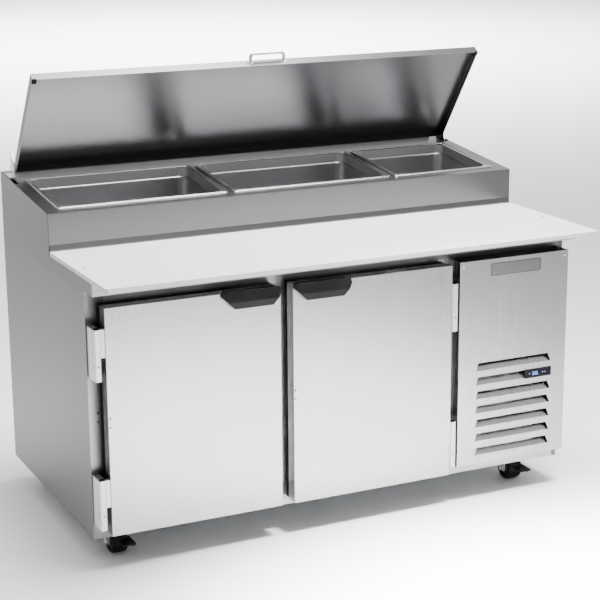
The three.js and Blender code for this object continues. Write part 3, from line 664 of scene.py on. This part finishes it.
class Cabinet(bpy.types.Operator):
    """Finish the lower cabinet's sheets and add its seams, plugs and inner fittings"""

    bl_idname = "prep_table.cabinet"
    bl_label = "Lower cabinet"

    def execute(self, context):
        kit = finishes()
        edge = context.scene.prep_table_sizes.sheet_edge * 1000
        # The side walls take the darkest copy of the stainless: painted shade.
        finish_nodes(["left_wall", "side_panel_right"], kit["end_upright"], edge)
        finish_nodes(["bulkhead", "mullion"], kit["steel_z"], edge)
        # The header and the floor take a darker copy of the stainless: painted shade.
        finish_nodes(["header_rail", "cabinet_floor"], kit["dull_x"], 0.5)
        finish_nodes(["back_wall", "rear_panel", "base_pan"], kit["zinc"], 0.4)
        self.fittings(kit)
        self.back(kit)
        return {"FINISHED"}

    def fittings(self, kit):
        plugs = Shape()
        for x in (26, 569):
            for z in (340, 365):
                plugs.screw((x, 0, z), "y", -1, 4.2, 1.3)
        plugs.piece("post_plugs", "cabinet", kit["hub"], 0.15, 1)
        seams = Shape()
        seams.slab(0.25, 3, 2, 768, 706.02, 706.28)
        seams.slab(51.7, 52.0, -0.4, 2, 645, 705)
        seams.piece("cabinet_seams", "cabinet", kit["rubber"])
        strips = Shape()
        for x in (53.5, 1072):
            for y in (70, 500):
                strips.slab(x, x + 2.2, y, y + 16, 110, 620)
                for step in range(19):
                    strips.slab(x + 0.6, x + 3.2, y + 5, y + 11, 122 + step * 26, 130 + step * 26)
        strips.piece("shelf_strips", "cabinet", kit["zinc"], 0.2, 1)

    def back(self, kit):
        seams = Shape()
        for x in (16, 30, 1098, 1510):
            for z in (60, 260, 460, 660):
                seams.screw((x, 769.4, z), "y", 1, 3.6, 0.5)
        seams.piece("back_screws", "cabinet", kit["bright_metal"])


class Worktop(bpy.types.Operator):
    """Finish the deck and its end panels, and the cutting board"""

    bl_idname = "prep_table.worktop"
    bl_label = "Worktop"

    def execute(self, context):
        kit = finishes()
        edge = context.scene.prep_table_sizes.sheet_edge * 1000
        finish_nodes(["top_deck"], kit["steel_x"], edge)
        # The end panels take the darkest copy of the stainless: painted shade.
        finish_nodes(["end_panel_left", "end_panel_right"], kit["end_deep"], 0.5)
        finish_nodes(["cutting_board"], kit["board"], context.scene.prep_table_sizes.board_edge * 1000, 4)
        studs = Shape()
        head = [(0, -0.2), (4.6, -0.2), (4.6, 0.3), (3.9, 0.5), (3.2, 0.2), (0, 0.15)]
        for x in (27, WIDTH - 27):
            studs.turned([(radius, BOARD_TOP + rise) for radius, rise in head], (x, 66, 0), "z", 28)
        studs.piece("board_studs", "cabinet", kit["hub"])
        return {"FINISHED"}


class PanRail(bpy.types.Operator):
    """Finish the raised rail and its bars, and draw the pans"""

    bl_idname = "prep_table.pan_rail"
    bl_label = "Pan rail"

    def execute(self, context):
        kit = finishes()
        edge = context.scene.prep_table_sizes.sheet_edge * 1000
        # The rail's faces, top and dividers take darker copies of the stainless: painted shade.
        finish_nodes(["rail_front", "rail_back"], kit["dull_x"], edge)
        finish_nodes(["rail_top"], kit["rail_steel"], 0.5)
        finish_nodes(["pan_divider_1", "pan_divider_2"], kit["rail_steel"], 0.8)
        for name, (x0, x1) in PANS.items():
            self.pan(name, x0, x1, kit)
        return {"FINISHED"}

    def pan(self, name, x0, x1, kit):
        """Rolled rim, a stacking bead below it, and walls drawn in to a round bottom."""
        rim = 13
        # inset from the rim's edge, height above the rail and corner radius, down the inner face
        levels = [
            (1.2, 0.35, 9), (0.2, 0.7, 10), (0.2, 1.2, 10), (1.0, 1.9, 9), (rim - 2, 1.9, 26),
            (rim + 0.5, 1.2, 31), (rim + 1.6, -1.5, 31), (rim + 2.0, -24, 31), (rim + 3.4, -27, 30),
            (rim + 6.0, -29, 29), (rim + 6.6, -33, 29), (rim + 10.8, -136, 27), (rim + 12.4, -142, 28),
            (rim + 16.5, -145.6, 32), (rim + 24, -147, 36),
        ]
        # and back up the outer face
        outer = [
            (rim + 24, -148.3, 36), (rim + 15.5, -147.0, 32), (rim + 11.2, -143, 28),
            (rim + 9.6, -136, 27), (rim + 5.4, -33, 29), (rim + 4.8, -30.2, 29), (rim + 2.2, -28, 30),
            (rim + 0.8, -25, 31), (rim + 0.4, -1.5, 31), (rim - 0.6, 0.4, 30),
        ]
        shape = Shape(RAIL)
        inside = []
        for inset, z, radius in levels + outer:
            ring = rounded_frame(x0 + inset, x1 - inset, PAN_V[0] + inset, PAN_V[1] - inset, radius)
            inside.append([(x, y, z) for x, y in ring])
        wall = len(levels)
        count = len(inside[0])
        points = [p for ring in inside for p in ring]
        faces = []
        for r in range(len(inside)):
            if r == wall - 1:
                continue
            following = (r + 1) % len(inside)
            for i in range(count):
                j = (i + 1) % count
                faces.append((r * count + i, r * count + j, following * count + j, following * count + i))
        faces.append(tuple(range((wall - 1) * count, wall * count)))
        faces.append(tuple(reversed(range(wall * count, (wall + 1) * count))))
        shape.solid(points, faces)
        shape.piece(f"{name}_drawn", f"{name}_lift", kit["pan_steel"], stands_for=(name,))
        self.bead(name, x0, x1, kit)

    def bead(self, name, x0, x1, kit):
        """The rolled edge that runs round the rim, in paler metal than the pan: a painted highlight along the
        rim.
        """
        radius = 1.7
        rings = []
        for height, across in arc((0, 0), radius, 0, 315, 7):
            inset = 3.4 + across
            ring = rounded_frame(x0 + inset, x1 - inset, PAN_V[0] + inset, PAN_V[1] - inset, 9)
            rings.append([(x, y, 2.6 + height) for x, y in ring])
        edge = Shape(RAIL)
        edge.rings(rings, closed=True)
        # The rim's edge is real; its paler metal is a painted highlight.
        edge.piece(f"{name}_rim_bead", f"{name}_lift", kit["bright_metal"])


class Lid(bpy.types.Operator):
    """Finish the lid, and draw its handle, pins, bumpers and brackets"""

    bl_idname = "prep_table.lid"
    bl_label = "Lid"

    def execute(self, context):
        kit = finishes()
        # The lid takes the darkest copy of the stainless: painted shade.
        finish_nodes(["lid_shell"], kit["lid_steel"], 0.5)
        finish_nodes(["lid_bracket_left"], kit["bright_metal"], 0.6)
        finish_nodes(["lid_bracket_right"], kit["black"], 0.6)
        self.handle(context, kit)
        self.bumpers(kit)
        self.pins(kit)
        return {"FINISHED"}

    def handle(self, context, kit):
        radius = context.scene.prep_table_sizes.handle_rod * 500 - 0.05
        tilt = math.radians(36)
        out = Vector((0, -math.cos(tilt), math.sin(tilt)))
        foot = Vector((WIDTH / 2, LID_FRONT + 5, -2))
        legs = [foot + Vector((side, 0, 0)) for side in (-55, 55)]
        start = 8.5
        path = [legs[0] + out * start, legs[0] + out * 33, legs[1] + out * 33, legs[1] + out * start]
        rod = Shape(LID)
        rod.rod(swept_bend(path, 13, 10), radius, 24)
        for leg in legs:
            collar = leg + out * start
            rod.turned([(0, -0.4), (radius + 2.4, -0.4), (radius + 2.0, 1.0), (radius, 2.4), (0, 2.4)],
                       (collar.x, LID_FRONT - 0.8, collar.z - 0.4), "y", 28)
        rod.piece(
            "lid_handle_rod", "lid", kit["bright_metal"], stands_for=("lid_handle",))

    def bumpers(self, kit):
        for side, x in (("left", 24.2), ("right", 1499.8)):
            inward = 1 if side == "left" else -1
            cap = Shape(LID)
            edges = sorted((x + inward * 0.2, x + inward * 14))
            cap.slab(edges[0], edges[1], LID_FRONT - 0.1, LID_FRONT + 16, -14.5, -8)
            cap.piece(f"lid_bumper_{side}", "lid", kit["rubber"], 1.2, 3)

    def pins(self, kit):
        heads = Shape(LID)
        heads.screw((25.1, LID_FRONT + 27, -2), "x", -1, 3.2, 1.0)
        heads.screw((1498.9, LID_FRONT + 27, -2), "x", 1, 3.2, 1.0)
        heads.piece("lid_side_pins", "lid", kit["bright_metal"])
        feet = Shape(RAIL)
        for x in (11, WIDTH - 11):
            for v in (392, 420):
                feet.screw((x, v, 3.6), "z", 1, 3.6, 1.8)
        feet.piece("bracket_screws", "cabinet", kit["bright_metal"])


class Doors(bpy.types.Operator):
    """Finish the doors, gaskets, pulls and hinges, with their caps and plugs"""

    bl_idname = "prep_table.doors"
    bl_label = "Doors"

    def execute(self, context):
        kit = finishes()
        for side in ("left", "right"):
            body = f"{side}_door"
            finish_nodes([f"door_{side}"], kit["steel_z"], 1.3, 3)
            finish_nodes([f"door_liner_{side}"], kit["white_paint"], 1.0)
            finish_nodes([f"door_pull_{side}"], kit["black"], 1.4, 3)
            self.gasket(side, body, kit)
            self.plugs(side, body, kit)
            for level, split in HINGE_SPLITS.items():
                names = [f"hinge_arm_{side}_{level}", f"hinge_base_{side}_{level}"]
                finish_nodes(names, kit["aluminium"], 0.9, 3)
                self.hinge_details(side, level, split, body, kit)
        return {"FINISHED"}

    def gasket(self, side, body, kit):
        """A hollow magnetic strip: two soft beads with a fold between them."""
        x0, x1 = DOOR_X[side]
        section = [
            (1.2, -19.7), (13.8, -19.7), (13.8, -16), (11.5, -14.5), (13.2, -11), (14.2, -6), (13.6, -1.6),
            (11.5, -0.5), (3.2, -0.5), (1.2, -1.8), (0.9, -6), (2.2, -11), (3.4, -14.5), (1.2, -16.5),
        ]
        rings = []
        for inset, y in section:
            outline = rounded_frame(
                x0 + inset, x1 - inset, DOOR_Z[0] + inset, DOOR_Z[1] - inset, 2.0, 3)
            rings.append([(x, y, z) for x, z in outline])
        strip = Shape()
        strip.rings(rings, closed=True)
        strip.piece(
            f"gasket_{side}", body, kit["rubber"], stands_for=(f"door_gasket_{side}",))

    def plugs(self, side, body, kit):
        x = DOOR_X[side][0] + 5
        plugs = Shape()
        for z in (340, 365):
            plugs.screw((x, DOOR_FACE, z), "y", -1, 2.8, 0.9)
        plugs.piece(f"door_plugs_{side}", body, kit["hub"])

    def hinge_details(self, side, level, split, body, kit):
        x = HINGE_X[side]
        cap = Shape()
        dome = [(0, 0), (8.2, 0), (8.2, 1.2), (6.8, 2.4), (4.0, 3.0), (0, 3.1)]
        cap.turned(dome, (x, HINGE_Y, split + KNUCKLE_LONG), "z", 32)
        cap.piece(f"hinge_cap_{side}_{level}", body, kit["black"])
        bush = Shape()
        collar = [(4, -1.4), (9.3, -1.4), (9.9, -0.6), (9.9, 2.4), (9.3, 3.2), (4, 3.2)]
        bush.turned(collar, (x, HINGE_Y, split), "z", 32, closed=True)
        bush.piece(f"hinge_bush_{side}_{level}", "cabinet", kit["hub"])
        base = Shape()
        foot = [(0, 0), (8.2, 0), (8.2, -1.2), (6.8, -2.4), (0, -2.9)]
        base.turned(foot, (x, HINGE_Y, split - KNUCKLE_SHORT), "z", 32)
        base.piece(f"hinge_foot_{side}_{level}", "cabinet", kit["black"])


class Grille(bpy.types.Operator):
    """Finish the louvred panel and its controller, with the display and the blank plate"""

    bl_idname = "prep_table.grille"
    bl_label = "Louvred panel"

    def execute(self, context):
        kit = finishes()
        finish_nodes(["grille_panel"], kit["steel_z"], context.scene.prep_table_sizes.louvre_edge * 1000, 2)
        finish_nodes(["controller"], kit["black"], 1.2, 3)
        plate = Shape()
        plate.prism(rounded_frame(1237, 1405, 628.5, 661, 2.5, 4), "y", DOOR_FACE - 0.9, DOOR_FACE + 0.1)
        # The blank plate takes a darker copy of the stainless: painted shade.
        plate.piece("blank_plate", "cabinet", kit["dull_x"], 0.3)
        seat = Shape()
        border = rounded_frame(1233.8, 1408.2, 625.3, 664.2, 4.5, 4)
        seat.prism(border, "y", DOOR_FACE - 0.25, DOOR_FACE + 0.1)
        seat.piece("blank_plate_seat", "cabinet", kit["hub"])
        heads = Shape()
        for x in (1140, 1494):
            for z in (58, 662):
                heads.screw((x, DOOR_FACE, z), "y", -1, 4.0, 1.6)
        heads.piece("panel_screws", "cabinet", kit["bright_metal"])
        self.face(kit)
        return {"FINISHED"}

    def face(self, kit):
        """A dark window with two lit digits, a dot and three small marks."""
        window = Shape()
        window.prism(rounded_frame(1369.4, 1446.6, 294.4, 314.6, 1.6, 4), "y", -62.2, -60.9)
        window.piece("display_window", "cabinet", kit["window"], 0.2)
        lit = Shape()
        for place, pattern in enumerate(("abcdg", "acdefg")):
            self.digit(lit, 1388 + place * 11, 299, pattern)
        lit.slab(1408.5, 1410.2, -62.8, -62.1, 299, 300.7)
        for x in (1377, 1424, 1432):
            lit.slab(x, x + 2.4, -62.8, -62.1, 303.4, 305.8)
        lit.piece("display_digits", "cabinet", kit["digits"])

    def digit(self, shape, x, z, pattern):
        """A seven segment figure, seven wide and eleven high."""
        w, h, t = 7, 11, 1.5
        bars = {
            "a": (x, x + w, z + h - t, z + h), "b": (x + w - t, x + w, z + h / 2, z + h),
            "c": (x + w - t, x + w, z, z + h / 2), "d": (x, x + w, z, z + t),
            "e": (x, x + t, z, z + h / 2), "f": (x, x + t, z + h / 2, z + h),
            "g": (x, x + w, z + h / 2 - t / 2, z + h / 2 + t / 2),
        }
        for index, key in enumerate(pattern):
            x0, x1, z0, z1 = bars[key]
            proud = index * 0.02
            shape.slab(x0, x1, -62.9 - proud, -62.2, z0, z1)


class Machinery(bpy.types.Operator):
    """Finish the compressor, condenser, evaporator and fans, and draw the pipes"""

    bl_idname = "prep_table.machinery"
    bl_label = "Machinery"

    def execute(self, context):
        kit = finishes()
        finish_nodes(["condenser", "evaporator"], kit["aluminium"], 0.6)
        finish_nodes(["condenser_fan"], kit["aluminium"], 0.5)
        finish_nodes(["evaporator_fan"], kit["black"], 0.4)
        finish_nodes(["compressor"], kit["black_paint"], 2.5, 3)
        pipes = Shape()
        discharge = [(1300, 480, 215), (1300, 480, 260), (1250, 300, 260), (1220, 170, 240), (1220, 140, 230)]
        suction = [(1400, 560, 210), (1400, 560, 250), (1460, 400, 250), (1450, 200, 120), (1450, 144, 60)]
        pipes.rod(swept_bend(discharge, 24), 4.5)
        pipes.rod(swept_bend(suction, 24), 3.5)
        pipes.piece("pipes", "cabinet", kit["copper"])
        return {"FINISHED"}


class Shelves(bpy.types.Operator):
    """Draw the wire shelves and the clips that hold them"""

    bl_idname = "prep_table.shelves"
    bl_label = "Wire shelves"

    def execute(self, context):
        kit = finishes()
        for side, (x0, x1) in (("left", (58, 566)), ("right", (572, 1070))):
            wires = Shape()
            plan = [(x0 + 150, 63), (x0 + 3, 63), (x0 + 3, 517), (x1 - 3, 517), (x1 - 3, 63), (x0 + 150, 63)]
            loop = swept_bend([(x, y, SHELF_Z) for x, y in plan], 14, 5)
            wires.rod(loop, 2.9, 10)
            count = 17
            for i in range(count):
                x = x0 + (x1 - x0) * (i + 1) / (count + 1)
                wires.rod([(x, 62, 383.8), (x, 518, 383.8)], 1.7, 8)
            for y in (210, 370):
                wires.rod([(x0 + 3, y, 381.6), (x1 - 3, y, 381.6)], 1.9, 8)
            wires.piece(
                f"shelf_{side}_wires", "cabinet", kit["zinc"],
                stands_for=(f"shelf_{side}",))
        clips = Shape()
        for x in (56, 1066):
            for y in (76, 508):
                clips.slab(x, x + 7, y - 4, y + 6, 376, 379.6)
        clips.piece("shelf_clips", "cabinet", kit["bright_metal"], 0.6)
        return {"FINISHED"}


class Casters(bpy.types.Operator):
    """Draw the wheels, and finish the forks and the brake levers"""

    bl_idname = "prep_table.casters"
    bl_label = "Casters"

    def execute(self, context):
        kit = finishes()
        for end, y in CASTER_Y.items():
            for side, x in CASTER_X.items():
                self.caster(f"{end}_{side}", x, y, kit)
        finish_nodes(["caster_brake_left", "caster_brake_right"], kit["black"], 1.0, 3)
        return {"FINISHED"}

    def caster(self, name, x, y, kit):
        finish_nodes([f"caster_fork_{name}"], kit["zinc"], 0.7)
        tread = Shape()
        half = 24
        edge = [(24, 1.5), (30, 0.4), (33, 0.8), (36.2, 4.5), (37.5, 9)]
        profile = [(radius, inset - half) for radius, inset in edge]
        profile += [(radius, half - inset) for radius, inset in reversed(edge)]
        tread.turned(profile, (x, y - TRAIL, AXLE_Z), "x", 64, closed=True)
        tread.piece(
            f"wheel_tread_{name}", f"{name}_wheel", kit["tread"],
            stands_for=(f"caster_wheel_{name}",))
        hub = Shape()
        edge = [(5.9, 0), (11, 0), (12.5, 1.5), (13.5, 5), (22, 6), (24.2, 3)]
        profile = [(radius, inset - half) for radius, inset in edge]
        profile += [(radius, half - inset) for radius, inset in reversed(edge)]
        hub.turned(profile, (x, y - TRAIL, AXLE_Z), "x", 48, closed=True)
        hub.piece(f"wheel_hub_{name}", f"{name}_wheel", kit["hub"])
        nuts = Shape()
        for facing in (-1, 1):
            start = x + facing * 31.8
            nut = [(0, 0), (7.6, 0), (8.6, 0.6), (8.6, 3.0), (7.4, 3.8), (0, 3.8)]
            profile = [(radius, facing * rise) for radius, rise in nut]
            nuts.turned(profile, (start, y - TRAIL, AXLE_Z), "x", 6)
        nuts.piece(f"axle_nuts_{name}", f"{name}_swivel", kit["bright_metal"])
        race = Shape()
        ring = [(25, 0.5), (27.5, 1.2), (28, 3.2), (27.5, 5.2), (25, 6)]
        race.turned(ring, (x, y, 0.5), "z", 48, closed=True)
        race.piece(f"swivel_race_{name}", f"{name}_swivel", kit["zinc"])


STEPS = (Stage, Cabinet, Worktop, PanRail, Lid, Doors, Grille, Machinery, Shelves, Casters)


class PrepTablePanel(bpy.types.Panel):
    """The prep table's steps, sizes and colours"""

    bl_idname = "VIEW3D_PT_prep_table"
    bl_label = "Prep table"
    bl_space_type = "VIEW_3D"
    bl_region_type = "UI"
    bl_category = "Prep table"

    def draw(self, context):
        for step in STEPS:
            self.layout.operator(step.bl_idname)
        for group in (context.scene.prep_table_sizes, context.scene.prep_table_colours):
            for key in group.__annotations__:
                self.layout.prop(group, key)


CLASSES = (PrepTableColours, PrepTableSizes, *STEPS, PrepTablePanel)


def register():
    for item in CLASSES:
        bpy.utils.register_class(item)
    bpy.types.Scene.prep_table_colours = PointerProperty(type=PrepTableColours)
    bpy.types.Scene.prep_table_sizes = PointerProperty(type=PrepTableSizes)


def unregister():
    del bpy.types.Scene.prep_table_sizes
    del bpy.types.Scene.prep_table_colours
    for item in reversed(CLASSES):
        bpy.utils.unregister_class(item)


def main():
    register()
    for step in STEPS:
        group, name = step.bl_idname.split(".")
        getattr(getattr(bpy.ops, group), name)()


if __name__ == "__main__":
    main()
